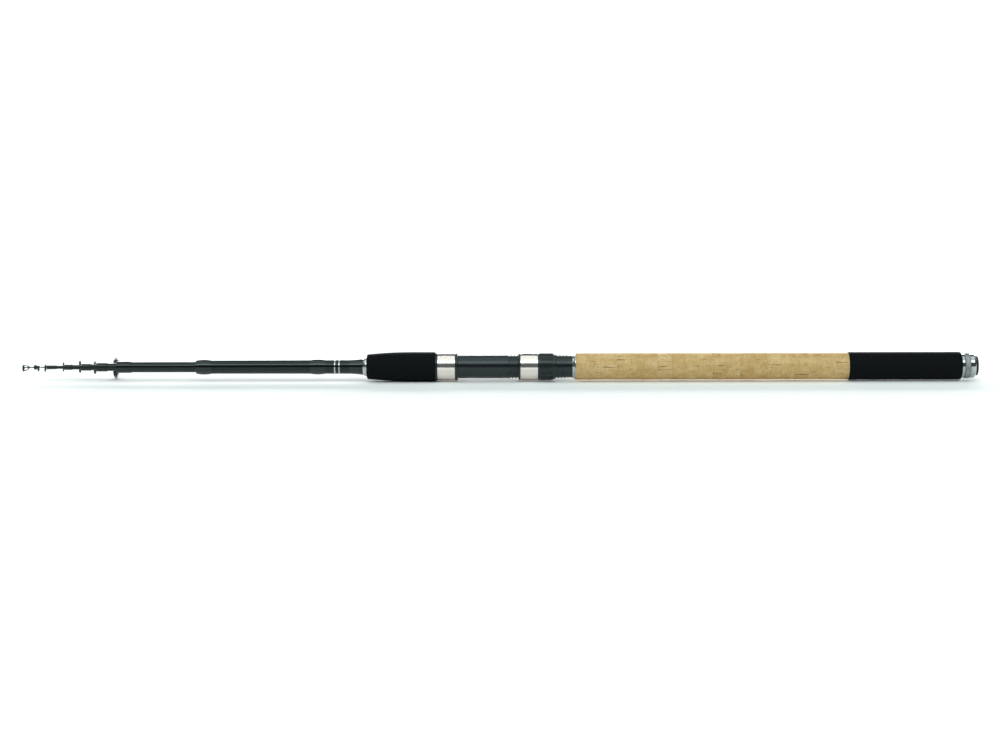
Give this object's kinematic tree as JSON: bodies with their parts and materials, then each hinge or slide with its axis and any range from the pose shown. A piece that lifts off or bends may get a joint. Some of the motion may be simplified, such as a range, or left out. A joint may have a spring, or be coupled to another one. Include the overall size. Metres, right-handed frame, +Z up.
{
  "type": "telescopic fishing rod",
  "caption": "Telescopic fishing rod, pushed together, with ringed sliding sections, a screw-down reel seat and cork and foam grips",
  "frame": {"origin": "centre of the butt end's flat face, on the rod's axis", "axes": "+X runs along the rod from butt to tip, +Z is up; the rod lies on its side, the guides point to -Y and a little down, and the foregrip and the largest ring touch the floor"},
  "size_m": [0.8799, 0.0401, 0.0268],
  "materials": {
    "blank": "matt black lacquer on fibre-reinforced resin tube",
    "lacquer": "glossy black lacquered thread whipping",
    "grip_foam": "fine closed-cell foam, matt black",
    "cork": "sanded natural cork with brown pits and streaks",
    "arbor": "plain light arbor, hidden",
    "seat_plastic": "satin charcoal moulding",
    "hood_steel": "brushed stainless band",
    "trim_metal": "turned and brushed metal",
    "cap_metal": "bright plated, with a fine diamond knurl",
    "cap_black": "black moulding",
    "buffer_foam": "soft foam, hidden",
    "bush_plastic": "black nylon",
    "guide_frame": "gloss black coated sheet metal",
    "wear_ring": "polished dark grey ceramic"
  },
  "bodies": {
    "handle": {"butt_blank": "blank", "mouth_whipping": "lacquer", "swollen_whipping": "lacquer", "flared_whipping": "lacquer", "winding_check": "trim_metal", "foregrip": "grip_foam", "reel_seat_body": "seat_plastic", "reel_seat_arbors": "arbor", "fixed_hood": "seat_plastic", "fixed_hood_band": "hood_steel", "seat_trim_cone": "trim_metal", "cork_grip": "cork", "butt_grip": "grip_foam", "butt_insert": "cap_metal"},
    "movable_hood": {"movable_hood": "seat_plastic", "movable_hood_band": "hood_steel"},
    "lock_nut": {"lock_nut": "seat_plastic"},
    "buffer": {"section_buffer": "buffer_foam"},
    "butt_cap": {"cap_body": "cap_metal", "cap_end": "cap_black"},
    "section_2": {"section_2_blank": "blank", "guide_2_frame": "guide_frame", "guide_2_ring": "wear_ring"},
    "section_3": {"section_3_blank": "blank", "guide_3_frame": "guide_frame", "guide_3_ring": "wear_ring"},
    "section_4": {"section_4_blank": "blank", "guide_4_frame": "guide_frame", "guide_4_ring": "wear_ring"},
    "section_5": {"section_5_blank": "blank", "guide_5_frame": "guide_frame", "guide_5_ring": "wear_ring"},
    "section_6": {"section_6_blank": "blank", "guide_6_frame": "guide_frame", "guide_6_ring": "wear_ring"},
    "tip": {"tip_blank": "blank", "tip_top_frame": "guide_frame", "tip_top_ring": "wear_ring"},
    "floating_guide": {"floating_guide_frame": "guide_frame", "floating_guide_bush": "bush_plastic", "floating_guide_ring": "wear_ring"}
  },
  "joints": [
    {"name": "section_2_slide", "type": "slide", "parent": "handle", "child": "section_2", "axis": [1, 0, 0], "range_m": [0, 0.5638]},
    {"name": "section_3_slide", "type": "slide", "parent": "section_2", "child": "section_3", "axis": [1, 0, 0], "range_m": [0, 0.6521]},
    {"name": "section_4_slide", "type": "slide", "parent": "section_3", "child": "section_4", "axis": [1, 0, 0], "range_m": [0, 0.6804]},
    {"name": "section_5_slide", "type": "slide", "parent": "section_4", "child": "section_5", "axis": [1, 0, 0], "range_m": [0, 0.7045]},
    {"name": "section_6_slide", "type": "slide", "parent": "section_5", "child": "section_6", "axis": [1, 0, 0], "range_m": [0, 0.7251]},
    {"name": "tip_slide", "type": "slide", "parent": "section_6", "child": "tip", "axis": [1, 0, 0], "range_m": [0, 0.7468]},
    {"name": "floating_guide_slide", "type": "slide", "parent": "tip", "child": "floating_guide", "axis": [-1, 0, 0], "range_m": [0, 0.285]},
    {"name": "hood_slide", "type": "slide", "parent": "handle", "child": "movable_hood", "axis": [1, 0, 0], "range_m": [-0.0116, 0.0241]},
    {"name": "nut_turn", "type": "hinge", "parent": "movable_hood", "child": "lock_nut", "pos_m": [0.3962, 0, 0], "axis": [1, 0, 0], "range_deg": [-1380, 2880]},
    {"name": "buffer_slide", "type": "slide", "parent": "handle", "child": "buffer", "axis": [-1, 0, 0], "range_m": [0, 0.0121]},
    {"name": "cap_turn", "type": "hinge", "parent": "buffer", "child": "butt_cap", "pos_m": [0.01, 0, 0], "axis": [-1, 0, 0], "range_deg": [0, 2880]}
  ],
  "couplings": [
    {"joint": "floating_guide_slide", "follows": "tip_slide", "ratio": 0.38},
    {"joint": "hood_slide", "follows": "nut_turn", "m_per_rad": 0.00047746},
    {"joint": "buffer_slide", "follows": "cap_turn", "m_per_rad": 0.00023873}
  ]
}
